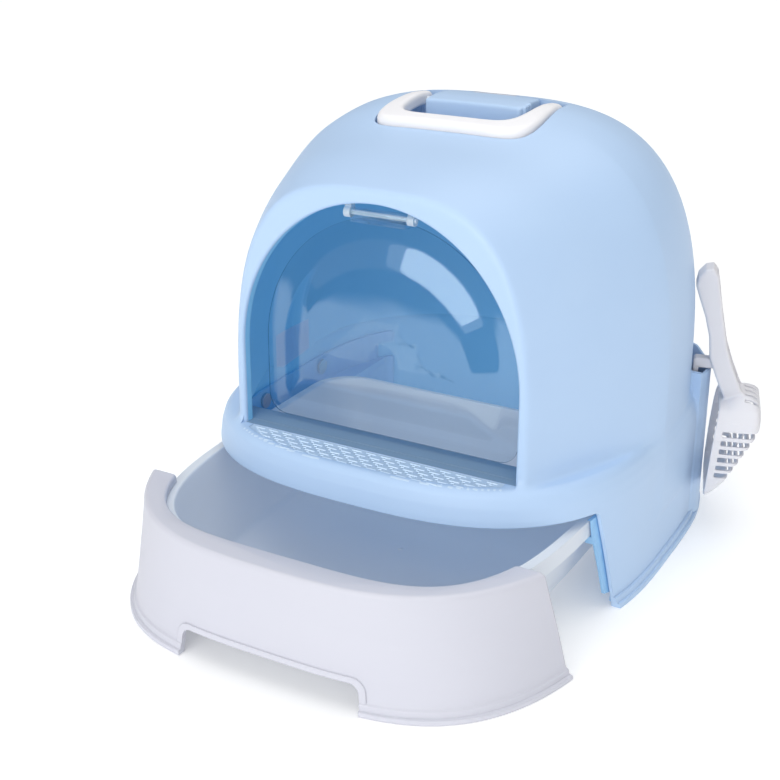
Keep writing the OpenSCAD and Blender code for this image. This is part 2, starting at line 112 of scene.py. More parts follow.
def loft(name, loops):
    """Closed solid through loops of equal length that run anticlockwise seen from the last loop."""
    n, m = len(loops[0]), len(loops)
    v = np.vstack([np.asarray(l, float) for l in loops])
    f = [list(range(n))[::-1], [(m - 1) * n + i for i in range(n)]]
    for k in range(m - 1):
        a, b = k * n, (k + 1) * n
        f += [(a + i, a + (i + 1) % n, b + (i + 1) % n, b + i) for i in range(n)]
    return mesh_object(name, v, f)


def prism(name, poly, axis, a, b):
    """Outline drawn in the other two axes (in their own order), pushed along axis from a to b."""
    poly = np.asarray(poly, float)
    other = [i for i in range(3) if i != axis]
    loops = []
    for t in (a, b):
        l = np.zeros((len(poly), 3))
        l[:, other[0]], l[:, other[1]], l[:, axis] = poly[:, 0], poly[:, 1], t
        loops.append(l)
    area = np.sum(poly[:, 0] * np.roll(poly[:, 1], -1) - np.roll(poly[:, 0], -1) * poly[:, 1])
    if (area < 0) != (axis == 1):
        loops = [l[::-1] for l in loops]
    return loft(name, loops)


def block(name, lo, hi):
    return prism(name, [(lo[0], lo[1]), (hi[0], lo[1]), (hi[0], hi[1]), (lo[0], hi[1])], 2, lo[2], hi[2])


def boolean(a, b, operation, keep=False):
    """a becomes a minus, plus or within b."""
    m = a.modifiers.new("b", "BOOLEAN")
    m.solver, m.operation, m.object = "MANIFOLD", operation, b
    dg = bpy.context.evaluated_depsgraph_get()
    me = bpy.data.meshes.new_from_object(a.evaluated_get(dg))
    a.modifiers.clear()
    old = a.data
    a.data = me
    bpy.data.meshes.remove(old)
    if len(me.polygons) == 0:
        raise RuntimeError("nothing left of " + a.name + " after " + b.name)
    if not keep:
        bpy.data.objects.remove(b)
    return a


def cut(a, b, keep=False):
    return boolean(a, b, "DIFFERENCE", keep)


def fuse(a, b, keep=False):
    return boolean(a, b, "UNION", keep)


def within(a, b, keep=False):
    return boolean(a, b, "INTERSECT", keep)


def join(a, *others):
    """One object of a and others, without merging them."""
    import bmesh
    bm = bmesh.new()
    for o in (a,) + others:
        bm.from_mesh(o.data)
    me = bpy.data.meshes.new(a.name)
    bm.to_mesh(me)
    bm.free()
    a.data = me
    for o in others:
        bpy.data.objects.remove(o)
    return a


def smax(a, b, k):
    h = np.maximum(k - np.abs(a - b), 0) / k
    return np.maximum(a, b) + h * h * k * 0.25


def smin(a, b, k):
    return -smax(-a, -b, k)


def inside(poly, a, b):
    """Signed distance to an outline, negative inside. a and b are arrays that broadcast."""
    poly = np.asarray(poly, float)
    a, b = np.broadcast_arrays(np.asarray(a, float), np.asarray(b, float))
    d = np.full(a.shape, 1e18)
    s = np.ones(a.shape)
    for i in range(len(poly)):
        vi, vj = poly[i], poly[i - 1]
        ex, ey = vj[0] - vi[0], vj[1] - vi[1]
        wx, wy = a - vi[0], b - vi[1]
        t = np.clip((wx * ex + wy * ey) / (ex * ex + ey * ey + 1e-12), 0, 1)
        bx, by = wx - ex * t, wy - ey * t
        d = np.minimum(d, bx * bx + by * by)
        c1, c2, c3 = b >= vi[1], b < vj[1], ex * wy > ey * wx
        s = np.where((c1 & c2 & c3) | (~c1 & ~c2 & ~c3), -s, s)
    return s * np.sqrt(d)


def nets(name, f, lo, hi, h, steps=3):
    """Closed mesh of the surface where f is 0, from samples h apart. f is negative inside and positive on the edge of the box."""
    ax = [np.arange(lo[i], hi[i] + h, h) for i in range(3)]
    grid = np.meshgrid(*ax, indexing="ij", sparse=True)
    val = np.broadcast_to(f(*grid), [len(a) for a in ax]).astype(np.float32)
    neg = val < 0
    nx, ny, nz = [len(a) - 1 for a in ax]
    count = np.zeros((nx, ny, nz), np.uint8)
    for i in (0, 1):
        for j in (0, 1):
            for k in (0, 1):
                count += neg[i:nx + i, j:ny + j, k:nz + k]
    act = (count > 0) & (count < 8)
    index = np.full(act.shape, -1, np.int64)
    cell = np.argwhere(act)
    index[act] = np.arange(len(cell))
    pos, num = np.zeros((len(cell), 3)), np.zeros(len(cell))
    corner = [(i, j, k) for i in (0, 1) for j in (0, 1) for k in (0, 1)]
    for p in corner:
        for axis in range(3):
            if p[axis]:
                continue
            q = list(p); q[axis] = 1
            va = val[tuple((cell + p).T)].astype(float)
            vb = val[tuple((cell + q).T)].astype(float)
            m = (va < 0) != (vb < 0)
            t = va[m] / (va[m] - vb[m])
            c = cell[m] + np.array(p, float)
            c[:, axis] += t
            pos[m] += c
            num[m] += 1
    pos = np.array([a[0] for a in ax]) + h * pos / num[:, None]
    e = 0.25 * h
    for _ in range(steps):
        g = np.zeros_like(pos)
        for i in range(3):
            d = np.zeros(3); d[i] = e
            a, b = pos + d, pos - d
            g[:, i] = (f(a[:, 0], a[:, 1], a[:, 2]) - f(b[:, 0], b[:, 1], b[:, 2])) / (2 * e)
        v = f(pos[:, 0], pos[:, 1], pos[:, 2])
        step = -(v / np.maximum((g * g).sum(1), 1e-3))[:, None] * g
        size = np.linalg.norm(step, axis=1)
        step *= np.minimum(1, 0.5 * h / np.maximum(size, 1e-9))[:, None]
        pos += step
    quads = []
    for axis in range(3):
        u, v = [(1, 2), (2, 0), (0, 1)][axis]
        s0 = [slice(None)] * 3; s1 = [slice(None)] * 3
        s0[axis] = slice(0, -1); s1[axis] = slice(1, None)
        change = neg[tuple(s0)] != neg[tuple(s1)]
        at = np.argwhere(change)
        at = at[(at[:, u] > 0) & (at[:, v] > 0) & (at[:, u] < len(ax[u]) - 1) & (at[:, v] < len(ax[v]) - 1)]
        ids = []
        for du, dv in ((-1, -1), (0, -1), (0, 0), (-1, 0)):
            c = at.copy(); c[:, u] += du; c[:, v] += dv
            ids.append(index[tuple(c.T)])
        q = np.stack(ids, 1)
        first = neg[tuple(at.T)]
        q[~first] = q[~first][:, ::-1]
        quads.append(q)
    quads = np.vstack(quads)
    me = bpy.data.meshes.new(name)
    me.vertices.add(len(pos))
    me.vertices.foreach_set("co", (pos * 0.001).astype(np.float32).ravel())
    me.loops.add(len(quads) * 4)
    me.loops.foreach_set("vertex_index", quads.astype(np.int32).ravel())
    me.polygons.add(len(quads))
    me.polygons.foreach_set("loop_start", np.arange(0, len(quads) * 4, 4, dtype=np.int32))
    me.update(calc_edges=True)
    me.validate()
    o = bpy.data.objects.new(name, me)
    scene.collection.objects.link(o)
    return o


# ------------------------------------------------------------------ materials
def srgb(r, g, b):
    def lin(v):
        v /= 255.0
        return v / 12.92 if v <= 0.04045 else ((v + 0.055) / 1.055) ** 2.4
    return (lin(r), lin(g), lin(b), 1.0)


def moulded(name, base, deep, rough=(0.36, 0.46), grain=0.05, bevel=0.0011, edge=0.25, glow=None, spec=0.5, grain_scale=1500.0):
    """Injection-moulded plastic: slow colour drift, fine spark grain, faint flow marks, rounded and slightly worn edges."""
    m = bpy.data.materials.new(name)
    m.use_nodes = True
    t = m.node_tree
    p = t.nodes["Principled BSDF"]
    new = t.nodes.new

    def link(a, b):
        t.links.new(a, b)

    co = new("ShaderNodeTexCoord")
    drift = new("ShaderNodeTexNoise"); drift.inputs["Scale"].default_value = 7.0; drift.inputs["Detail"].default_value = 3.0
    link(co.outputs["Object"], drift.inputs["Vector"])
    flow_map = new("ShaderNodeMapping"); flow_map.inputs["Scale"].default_value = (9.0, 9.0, 55.0)
    link(co.outputs["Object"], flow_map.inputs["Vector"])
    flow = new("ShaderNodeTexNoise"); flow.inputs["Scale"].default_value = 1.0; flow.inputs["Detail"].default_value = 4.0
    link(flow_map.outputs["Vector"], flow.inputs["Vector"])
    both = new("ShaderNodeMath"); both.operation = "ADD"
    half = new("ShaderNodeMath"); half.operation = "MULTIPLY"; half.inputs[1].default_value = 0.35
    link(flow.outputs["Fac"], half.inputs[0]); link(drift.outputs["Fac"], both.inputs[0]); link(half.outputs[0], both.inputs[1])
    ramp = new("ShaderNodeMapRange")
    ramp.inputs["From Min"].default_value = 0.35; ramp.inputs["From Max"].default_value = 1.0
    link(both.outputs[0], ramp.inputs["Value"])
    mix = new("ShaderNodeMix"); mix.data_type = "RGBA"
    mix.inputs["A"].default_value = deep; mix.inputs["B"].default_value = base
    link(ramp.outputs["Result"], mix.inputs["Factor"])
    geo = new("ShaderNodeNewGeometry")
    worn = new("ShaderNodeMapRange")
    worn.inputs["From Min"].default_value = 0.52; worn.inputs["From Max"].default_value = 0.60
    worn.inputs["To Max"].default_value = edge
    link(geo.outputs["Pointiness"], worn.inputs["Value"])
    pale = new("ShaderNodeMix"); pale.data_type = "RGBA"
    pale.inputs["B"].default_value = tuple(min(1.0, c * 1.12 + 0.03) for c in base[:3]) + (1.0,)
    link(worn.outputs["Result"], pale.inputs["Factor"]); link(mix.outputs["Result"], pale.inputs["A"])
    link(pale.outputs["Result"], p.inputs["Base Color"])
    rr = new("ShaderNodeMapRange"); rr.inputs["To Min"].default_value = rough[0]; rr.inputs["To Max"].default_value = rough[1]
    link(flow.outputs["Fac"], rr.inputs["Value"]); link(rr.outputs["Result"], p.inputs["Roughness"])
    fine = new("ShaderNodeTexNoise"); fine.inputs["Scale"].default_value = grain_scale; fine.inputs["Detail"].default_value = 2.0
    link(co.outputs["Object"], fine.inputs["Vector"])
    wave = new("ShaderNodeTexNoise"); wave.inputs["Scale"].default_value = 22.0; wave.inputs["Detail"].default_value = 1.0
    link(co.outputs["Object"], wave.inputs["Vector"])
    bump = new("ShaderNodeBump"); bump.inputs["Strength"].default_value = grain; bump.inputs["Distance"].default_value = 0.0004
    bump2 = new("ShaderNodeBump"); bump2.inputs["Strength"].default_value = 0.02; bump2.inputs["Distance"].default_value = 0.004
    link(fine.outputs["Fac"], bump.inputs["Height"]); link(wave.outputs["Fac"], bump2.inputs["Height"])
    if bevel:
        bev = new("ShaderNodeBevel"); bev.samples = 4; bev.inputs["Radius"].default_value = bevel
        link(bev.outputs["Normal"], bump2.inputs["Normal"])
    link(bump2.outputs["Normal"], bump.inputs["Normal"])
    link(bump.outputs["Normal"], p.inputs["Normal"])
    p.inputs["Specular IOR Level"].default_value = spec
    p.inputs["IOR"].default_value = 1.49
    # painted light: the glow is an emission, so the plastic shines though it is no lamp
    if glow:
        p.inputs["Emission Color"].default_value = glow[:3] + (1.0,)
        p.inputs["Emission Strength"].default_value = glow[3]
    return m


def clear(name, tint, rough=0.02, gloss=1.0, body=0.0, body_colour=(0.9, 0.95, 1.0, 1.0)):
    """Clear sheet: see-through with a tint, mirror-like shine by Fresnel, faint waviness of the moulding."""
    m = bpy.data.materials.new(name)
    m.use_nodes = True
    t = m.node_tree
    p = t.nodes["Principled BSDF"]
    out = t.nodes["Material Output"]
    new = t.nodes.new
    co = new("ShaderNodeTexCoord")
    wave = new("ShaderNodeTexNoise"); wave.inputs["Scale"].default_value = 9.0; wave.inputs["Detail"].default_value = 2.0
    t.links.new(co.outputs["Object"], wave.inputs["Vector"])
    bump = new("ShaderNodeBump"); bump.inputs["Strength"].default_value = 0.06; bump.inputs["Distance"].default_value = 0.01
    t.links.new(wave.outputs["Fac"], bump.inputs["Height"])
    p.inputs["Base Color"].default_value = body_colour
    p.inputs["Roughness"].default_value = rough
    p.inputs["IOR"].default_value = 1.49
    p.inputs["Specular IOR Level"].default_value = 1.0
    t.links.new(bump.outputs["Normal"], p.inputs["Normal"])
    tr = new("ShaderNodeBsdfTransparent"); tr.inputs["Color"].default_value = tint
    fr = new("ShaderNodeFresnel")
    side = new("ShaderNodeNewGeometry")
    ior = new("ShaderNodeMath"); ior.operation = "MULTIPLY_ADD"
    ior.inputs[1].default_value = 1 / 1.49 - 1.49; ior.inputs[2].default_value = 1.49
    t.links.new(side.outputs["Backfacing"], ior.inputs[0]); t.links.new(ior.outputs[0], fr.inputs["IOR"])
    t.links.new(bump.outputs["Normal"], fr.inputs["Normal"])
    fac = new("ShaderNodeMath"); fac.operation = "MULTIPLY_ADD"
    fac.inputs[1].default_value = gloss; fac.inputs[2].default_value = body
    t.links.new(fr.outputs["Fac"], fac.inputs[0])
    gl = new("ShaderNodeBsdfGlossy"); gl.inputs["Roughness"].default_value = rough; gl.inputs["Color"].default_value = (0.80, 0.92, 1.0, 1.0)
    t.links.new(bump.outputs["Normal"], gl.inputs["Normal"])
    shine = new("ShaderNodeMixShader")
    t.links.new(fac.outputs[0], shine.inputs["Fac"])
    t.links.new(tr.outputs[0], shine.inputs[1]); t.links.new(gl.outputs[0] if body == 0.0 else p.outputs[0], shine.inputs[2])
    t.links.new(shine.outputs[0], out.inputs["Surface"])
    return m


def metal(name, colour):
    m = bpy.data.materials.new(name)
    m.use_nodes = True
    t = m.node_tree
    p = t.nodes["Principled BSDF"]
    co = t.nodes.new("ShaderNodeTexCoord")
    n = t.nodes.new("ShaderNodeTexNoise"); n.inputs["Scale"].default_value = 700.0
    t.links.new(co.outputs["Object"], n.inputs["Vector"])
    r = t.nodes.new("ShaderNodeMapRange"); r.inputs["To Min"].default_value = 0.22; r.inputs["To Max"].default_value = 0.4
    t.links.new(n.outputs["Fac"], r.inputs["Value"]); t.links.new(r.outputs["Result"], p.inputs["Roughness"])
    p.inputs["Base Color"].default_value = colour
    p.inputs["Metallic"].default_value = 1.0
    return m


def felt(name):
    m = bpy.data.materials.new(name)
    m.use_nodes = True
    t = m.node_tree
    p = t.nodes["Principled BSDF"]
    co = t.nodes.new("ShaderNodeTexCoord")
    n = t.nodes.new("ShaderNodeTexNoise"); n.inputs["Scale"].default_value = 900.0; n.inputs["Detail"].default_value = 5.0
    t.links.new(co.outputs["Object"], n.inputs["Vector"])
    mix = t.nodes.new("ShaderNodeMix"); mix.data_type = "RGBA"
    mix.inputs["A"].default_value = (0.012, 0.012, 0.014, 1); mix.inputs["B"].default_value = (0.06, 0.06, 0.065, 1)
    t.links.new(n.outputs["Fac"], mix.inputs["Factor"]); t.links.new(mix.outputs["Result"], p.inputs["Base Color"])
    b = t.nodes.new("ShaderNodeBump"); b.inputs["Strength"].default_value = 0.8; b.inputs["Distance"].default_value = 0.0008
    t.links.new(n.outputs["Fac"], b.inputs["Height"]); t.links.new(b.outputs["Normal"], p.inputs["Normal"])
    p.inputs["Roughness"].default_value = 0.95
    p.inputs["Sheen Weight"].default_value = 0.3
    return m


BLUE = moulded("blue_plastic", srgb(186, 212, 242), srgb(181, 208, 240), rough=(0.40, 0.50))
# painted shade and light: a deeper blue with a glow, for the inside of the hood
INNER_PAINTED_GLOW = moulded("blue_plastic_inner", srgb(136, 190, 227), srgb(129, 185, 223), rough=(0.42, 0.52), glow=(0.070, 0.245, 0.39, 0.29))
# painted shade: a darker, greyer blue for the strip behind the arch, in the shade of the arch ring
SILL_PAINTED_SHADE = moulded("sill_painted_shade_blue", srgb(140, 166, 190), srgb(134, 161, 187), rough=(0.42, 0.52))
# painted light: a lighter blue for the tread, which lies partly in the dome's shade
TREAD_PAINTED_LIGHT = moulded("tread_painted_light_blue", srgb(210, 230, 250), srgb(205, 226, 248), rough=(0.40, 0.50), bevel=0.0004)
# painted light: a faint blue glow on the guides, for light reaching them inside the hood
GUIDE_PAINTED_GLOW = moulded("guide_painted_glow_plastic", srgb(152, 196, 234), srgb(146, 191, 230), rough=(0.42, 0.52), glow=(0.015, 0.20, 0.40, 0.10))
WHITE = moulded("white_plastic", srgb(207, 208, 218), srgb(203, 204, 215), rough=(0.38, 0.48))
# painted light: a brighter copy of the white plastic, so the handle on top of the dome reads as lit
HANDLE_PAINTED_LIGHT = moulded("handle_painted_light_plastic", srgb(250, 249, 251), srgb(247, 246, 249), rough=(0.38, 0.48))
SCOOP = moulded("scoop_plastic", srgb(224, 223, 227), srgb(220, 219, 224), rough=(0.38, 0.48), bevel=0.0006)
# painted light: a glow on the tray, for light coming through its thin walls and off the blue hood
TRAY_PAINTED_GLOW = moulded("tray_plastic", srgb(212, 219, 226), srgb(206, 213, 221), rough=(0.30, 0.42), bevel=0.0009, glow=(0.30, 0.31, 0.36, 0.26))
PIN = moulded("pin_plastic", srgb(222, 230, 238), srgb(214, 224, 234), rough=(0.2, 0.3), bevel=0.0004)
CLEAR = clear("clear_plastic", (0.955, 0.978, 0.99, 1.0), gloss=1.4)
CLEAR_EDGE = clear("clear_plastic_edge", (0.42, 0.52, 0.60, 1.0), gloss=0.5)
CLIP = clear("clear_clip", (0.82, 0.90, 0.96, 1.0), rough=0.12, gloss=1.2, body=0.45, body_colour=(0.86, 0.93, 0.98, 1.0))
STEEL = metal("screw_steel", (0.68, 0.69, 0.71, 1.0))
FELT = felt("carbon_pad")


def piece(o, body, mat, angle=32, replaces=()):
    """Finishes a piece: smooth shading split at hard edges, material, body and the CAD node it stands for."""
    me = o.data
    me.materials.clear()
    me.materials.append(mat)
    for p in me.polygons:
        p.material_index = 0
    me.shade_smooth()
    me.set_sharp_from_angle(angle=math.radians(angle))
    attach(o, body)
    if replaces:
        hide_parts(*replaces)
    return o


# ------------------------------------------------------------------ hood
def superplan(a, bf, br, kf, kr, z, n=260):
    t = np.linspace(0, 2 * math.pi, 4000, endpoint=False)
    c, s = np.cos(t), np.sin(t)
    k = np.where(s < 0, kf, kr)
    x = a * np.sign(c) * np.abs(c) ** (2 / k)
    y = YC + np.where(s < 0, bf, br) * np.sign(s) * np.abs(s) ** (2 / k)
    p = resample(np.stack([x, y], 1), n, closed=True)
    return np.column_stack([p, np.full(n, z)])


def plan(d, z, n=260):
    return superplan(HW - d, 216.5 - d, 223.9 - d, 2.8, 3.8, z, n)


def section(y, d, z0, n=150):
    t = np.radians(np.linspace(-90, 90, 1200))
    w, h = wid(y, d), top(y, d) - DZB
    x = w * np.sign(np.sin(t)) * np.abs(np.sin(t)) ** (2 / M1)
    z = DZB + h * np.clip(np.cos(t), 0, 1) ** (2 / M2)
    p = resample(np.stack([x, z], 1), n)
    p = np.vstack([[-w, z0], p, [w, z0]])
    return np.column_stack([p[:, 0], np.full(len(p), y), p[:, 1]])


def inner_dome(name, d, z0, y0, y1=None, m=40):
    ye = DYR - d - 0.7
    if y1 is None:
        ys = y0 + (ye - y0) * np.sin(np.radians(90 * np.arange(m + 1) / m))
    else:
        ys = np.linspace(y0, y1, 8)
    return loft(name, [section(y, d, z0) for y in ys])


def bail(a0, a1, y0, y1, k, n=130):
    t = np.radians(np.linspace(90, -90, 1500))
    c = np.clip(np.cos(t), 0, 1) ** (2 / k)
    a = a1 + (a0 - a1) * c
    p = np.stack([a * np.sign(np.sin(t)) * np.abs(np.sin(t)) ** (2 / k), y1 - (y1 - y0) * c], 1)
    return resample(p, n)


def well_plan(g=0.0):
    return bail(HANDLE_W / 2 + 2 + g, HANDLE_W / 2 - 5 + g, HY0 - 2 - g, HY1 + 5 + g, 6) * (HX, 1)


POCKET = [(HW - 40, 28), (HW - 1.5, 28), (HW + 0.9, 38), (HW + 1.3, 48), (HW - 0.4, 55), (HW - 5, 61), (HW - 12, 64), (HW - 40, 64)]


def f_dome(x, y, z):
    w, h = np.maximum(wid(y), 2.0), np.maximum(top(y) - DZB, 2.0)
    zz = np.maximum(z - DZB, 0)
    r = ((np.abs(x) / w) ** M1 + (zz / h) ** M2) ** (1 / 3.05)
    size = np.sqrt(x * x + zz * zz)
    d = np.minimum(size, 260) * (1 - 1 / np.maximum(r, 0.3))
    d = np.where(y > DYR, np.maximum(d, y - DYR + 0.2), d)
    return smax(d, YP - y, 5.0)


def f_plinth(x, y, z):
    e = np.interp(z, [0, 110, 121, 130, 133.1, 135.5], [0, 0, 1.4, 4, 6.3, 9.5])
    fr = y < YC
    k = np.where(fr, 2.8, 3.8)
    b = np.where(fr, 216.5, 223.9) - e
    r = ((np.abs(x) / (HW - e)) ** k + (np.abs(y - YC) / b) ** k) ** (1 / k)
    size = np.sqrt(x * x + (y - YC) ** 2)
    d = size * (1 - 1 / np.maximum(r, 0.3))
    return np.maximum(smax(d, z - SILL, 1.6), 5.5 - z)


def f_hood(x, y, z):
    d = smin(np.maximum(f_dome(x, y, z), 60 - z), f_plinth(x, y, z), 9.0)
    p = smax(inside(POCKET, x, y), z - 158.0, 2.0)
    return smin(d, np.maximum(p, 6.0 - z), 3.0)


def arch(w, h, z0, n=150):
    t = np.linspace(0, math.pi, 900)
    p = [(w * math.cos(a), ARCH_Z + h * math.sin(a)) for a in t]
    p = resample(p, n)
    return np.vstack([p, [(-w, z0), (w, z0)]])


def at(poly, y):
    return np.column_stack([poly[:, 0], np.full(len(poly), y), poly[:, 1]])


def rounded(poly, r, n=6):
    """The outline with its corners rounded by r (one number, or one for each corner)."""
    poly = [np.array(p, float) for p in poly]
    out = []
    rs = r if isinstance(r, (list, tuple)) else [r] * len(poly)
    for i, p in enumerate(poly):
        a, b = poly[i - 1] - p, poly[(i + 1) % len(poly)] - p
        la, lb = np.linalg.norm(a), np.linalg.norm(b)
        if rs[i] <= 0:
            out.append(p); continue
        a, b = a / la, b / lb
        ang = math.acos(max(-1, min(1, float(a @ b))))
        t = min(rs[i] / math.tan(ang / 2), la * 0.49, lb * 0.49)
        rr = t * math.tan(ang / 2)
        c = p + (a + b) / np.linalg.norm(a + b) * rr / math.sin(ang / 2)
        p0, p1 = p + a * t - c, p + b * t - c
        a0, a1 = math.atan2(p0[1], p0[0]), math.atan2(p1[1], p1[0])
        da = (a1 - a0 + math.pi) % (2 * math.pi) - math.pi
        out += [c + rr * np.array([math.cos(a0 + da * k / n), math.sin(a0 + da * k / n)]) for k in range(n + 1)]
    return np.array(out)


hood = nets("hood", f_hood, (-216, -290, 2), (216, 164, 418), 2.2)
flange = loft("flange", [plan(-5, 0), plan(-5, 4.2), plan(-4.7, 4.8), plan(-4.0, 5.0), plan(-2.6, 5.05), plan(-2.5, 10.2), plan(-2.2, 10.8), plan(-1.6, 11.0), plan(2, 11.2), plan(3, 13)])
fuse(hood, flange)
wing = prism("wing", rounded([(HW - 34, 120), (HW - 3, 120), (HW - 3, 158), (HW - 17, 174), (HW - 34, 180)], [0, 0, 3, 4, 0]), 1, 57, 60.5)
fuse(hood, wing)
# inside
cut(hood, loft("in1", [plan(WALL, -2), plan(WALL, 109), plan(WALL + 1.4, 119.5), plan(WALL + 4, SILL - 8.3), plan(WALL + 6.5, SILL - 5.4), plan(WALL + 9.5, SILL - WALL)]))
cut(hood, inner_dome("in2", WALL, SILL, YP + RING, -203.0))
cut(hood, inner_dome("in3", WALL, 52.0, -204.0))
tub = prism("tub", well_plan(8), 2, WELL_Z - WALL, 440)
within(tub, inner_dome("clip", 0.6, 200, -200.0))
fuse(hood, tub)
edge = block("edge", (-215, -204 - WALL, SILL - 14), (215, -204, SILL - 1))
within(edge, loft("clip", [plan(WALL - 0.5, 100), plan(WALL + 8, SILL - 0.6)]))
fuse(hood, edge)
walls = prism("walls", POCKET, 2, 99, 157.5)
cut(walls, inner_dome("clip", WALL, 60, -150.0))
fuse(hood, walls)
# lining that closes the scoop's slot towards the inside
lining = block("lining", (HW - 20.2, 28.5, 99.5), (HW + 4, 59.5, 191.5))
within(lining, inner_dome("clip", 0.9, 60, -150.0))
fuse(hood, lining)
# entrance: the cutter flares out where it meets the rim, so the edge is round
loops = []
for y, g, drop in ((YP - 30, 2.6, -0.02), (YP - 0.2, 2.6, -0.02), (YP + 0.15, 1.7, 0.35), (YP + 0.7, 0.9, 0.35), (YP + 1.3, 0.4, 0.35), (YP + 2.2, 0.1, 0.35), (YP + 3.0, 0, 0.35), (YP + RING + 0.5, 0, 0.35)):
    loops.append(at(arch(ARCH_W / 2 + g, RISE + g, SILL - drop), y))
cut(hood, loft("door", [l[::-1] for l in loops]))
# shallow pan of the tread
pan_cut = loft("pan", [plan(14.4, SILL - 0.45), plan(13.9, SILL - 0.2), plan(13.3, SILL + 0.6)])
cut(hood, within(pan_cut, prism("front", [(-126, -300), (126, -300), (126, YP - 0.6), (-126, YP - 0.6)], 2, SILL - 2, SILL + 2)))
cut(hood, prism("bay", [(-400, -10), (-159.2, -10), (-188.6, 96), (-189.4, 99.2), (-190.6, 101.8), (-192.4, 103.8), (-194.6, 104.8), (-197.5, 105), (-400, 105)], 0, -300, 300))
cut(hood, prism("well", well_plan(), 2, WELL_Z, 450))
cut(hood, block("hole", (-LID_W / 2 + 5, LID_Y0 + 5, WELL_Z - 20), (LID_W / 2 - 5, LID_Y1 - 5, WELL_Z + 10)))
cut(hood, prism("notch", rounded([(-23, LID_Y1 - 2), (23, LID_Y1 - 2), (23, LID_Y1 + 22), (-23, LID_Y1 + 22)], [0, 0, 4, 4]), 2, WELL_Z + 10, 450))
cut(hood, block("slot", (HW - 17.5, 31, 102), (HW - 1.9, 57, 189)))
piece(hood, "hood", BLUE, angle=30, replaces=("hood_shell",))
# the inner faces are of the same plastic, given painted shade (a deeper blue) and a painted glow for the light that
# comes through the wall
hood.data.materials.append(INNER_PAINTED_GLOW)
mid = np.zeros(len(hood.data.polygons) * 3)
hood.data.polygons.foreach_get("center", mid)
mid = mid.reshape(-1, 3) * 1000
mx, my, mz = mid.T
way = np.zeros(len(hood.data.polygons) * 3)
hood.data.polygons.foreach_get("normal", way)
way = way.reshape(-1, 3)
inward = way[:, 0] * -mx + way[:, 1] * (-30 - my) + way[:, 2] * (180 - mz) > 0
# painted shade and light: faces inside the hood's wall, which take the deeper, glowing blue
deep = (f_dome(mx, my, mz) < -1.6) & (mz > SILL - 0.6) & (mz < 372) & (my > YP + 3.2) & inward
deep |= (f_plinth(mx, my, mz) < -1.6) & (mz <= SILL - 0.6) & (mz > 14) & (my > -198) & (mx < 168 + 30 * (my < 0)) & (inward | (my < 100))
# painted shade: the strip between the arch and the flap takes the darker blue
painted_shade_strip = (mz > SILL - 0.45) & (mz < SILL + 0.05) & (my > YP + 0.3) & (my < -200) & (np.abs(mx) < ARCH_W / 2 + 2)
# painted light: the tread's pan floor takes the lighter blue
pan_painted_light = (np.abs(mz - SILL + 0.45) < 0.15) & (my < YP - 0.3) & (np.abs(mx) < 128)
hood.data.materials.append(SILL_PAINTED_SHADE)
hood.data.materials.append(TREAD_PAINTED_LIGHT)
kind = np.where(painted_shade_strip, 2, np.where(pan_painted_light, 3, np.where(deep, 1, 0)))
print("inner, sill and tread faces", [int((kind == k).sum()) for k in (1, 2, 3)])
hood.data.polygons.foreach_set("material_index", kind.astype(np.int32))


def bar(cx, cy, cz, lx, ly, h, n=5):
    """Vertices and faces of a low raised bar with round ends and a domed top."""
    t = np.linspace(0, 2 * math.pi, 16, endpoint=False)
    v, f = [], []
    for k in range(n):
        a = math.radians(90 * k / (n - 1))
        s = math.cos(a) * 0.9 + 0.1
        r = ly / 2 * s
        z = cz - 0.4 + (h + 0.4) * math.sin(a) if k else cz - 0.4
        for q in t:
            ex = (lx / 2 - ly / 2) * np.sign(math.cos(q))
            v.append((cx + ex + r * math.cos(q), cy + r * math.sin(q), z))
    for k in range(n - 1):
        for i in range(16):
            j = (i + 1) % 16
            f.append((k * 16 + i, k * 16 + j, (k + 1) * 16 + j, (k + 1) * 16 + i))
    f.append(tuple(range((n - 1) * 16, n * 16)))
    f.append(tuple(range(16))[::-1])
    return v, f


tv, tf = [], []
for r in range(9):
    y = -268.2 + 3.25 * r
    half = (HW - 17) * max(1 - ((YC - y) / 209) ** 2.8, 0) ** (1 / 2.8) - 7
    long = r % 2 == 0
    for i in range(-20, 21):
        x = 14.5 * (i + (0.5 if (r // 2) % 2 else 0)) + (0 if long else 7.25)
        if abs(x) < min(half, 120):
            v, f = bar(x, y, SILL - 0.45, 10.4 if long else 3.4, 2.2 if long else 1.8, 0.7 if long else 0.6)
            tf += [tuple(len(tv) + q for q in g) for g in f]
            tv += v
tread = mesh_object("tread_bars", tv, tf)
# painted light: the bars take the lighter tread blue
piece(tread, "hood", TREAD_PAINTED_LIGHT, angle=60)

# ------------------------------------------------------------------ carry handle
OUTER = bail(HANDLE_W / 2, HANDLE_W / 2 - 7, HY0, HY1, 6) * (HX, 1)
INNER = bail(HANDLE_W / 2 - 21.7, HANDLE_W / 2 - 19.6, HY0 + 19.6, HY1 + 3, 6.5) * (HX, 1)


def f_handle(x, y, z):
    d = smax(inside(OUTER, x, y), -inside(INNER, x, y), 2.0)
    zt = surf(x, y) - 0.075 * y - 1.425
    d = smax(d, z - zt, 6.0)
    d = smax(d, zt - HANDLE_T - z, 3.0)
    end = np.where(y > HPY, np.sqrt(np.maximum(y - HPY, 0) ** 2 + (z - HPZ) ** 2) - 12.6, -8.0)
    return smax(d, end, 3.0)


handle = nets("handle", f_handle, (-80, -120, 378), (80, -12, 416), 1.1)
piece(handle, "handle", HANDLE_PAINTED_LIGHT, angle=50, replaces=("carry_handle",))

